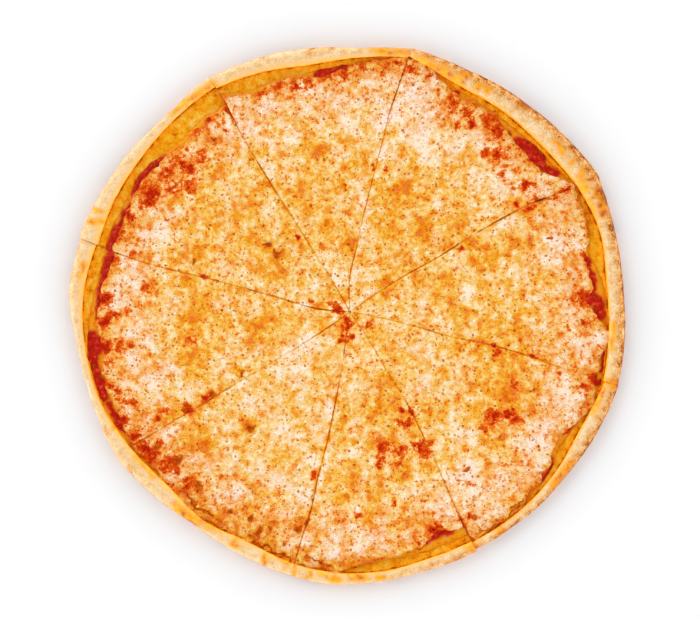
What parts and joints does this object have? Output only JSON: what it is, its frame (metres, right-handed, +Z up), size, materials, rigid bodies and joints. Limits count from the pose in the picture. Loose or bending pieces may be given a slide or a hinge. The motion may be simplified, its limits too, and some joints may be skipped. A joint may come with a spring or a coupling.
{
  "type": "whole cheese pizza, new york style, cut into slices",
  "caption": "Whole thin-crust cheese pizza cut into slices that still lie together: rolled crust rim, tomato sauce and melted cheese as separate layers.",
  "frame": {"origin": "middle of the pizza's outline, on the plane of its flat underside", "axes": "+Z up out of the cheese; +X and +Y in the plane of the pizza, to the right and up as it is seen from above"},
  "size_m": [0.4656, 0.45, 0.0152],
  "materials": {
    "crust": "baked wheat dough, dry and matt, toasted brown in spots",
    "sauce": "cooked tomato sauce, wet and glossy",
    "cheese": "melted mozzarella, greasy, orange where its oil has pooled, cream where it hasn't browned"
  },
  "bodies": {
    "root": {"crust_1": "crust", "sauce_1": "sauce", "cheese_1": "cheese", "crust_2": "crust", "sauce_2": "sauce", "cheese_2": "cheese", "crust_3": "crust", "sauce_3": "sauce", "cheese_3": "cheese", "crust_4": "crust", "sauce_4": "sauce", "cheese_4": "cheese", "crust_5": "crust", "sauce_5": "sauce", "cheese_5": "cheese", "crust_6": "crust", "sauce_6": "sauce", "cheese_6": "cheese", "crust_7": "crust", "sauce_7": "sauce", "cheese_7": "cheese", "crust_8": "crust", "sauce_8": "sauce", "cheese_8": "cheese"}
  },
  "joints": []
}
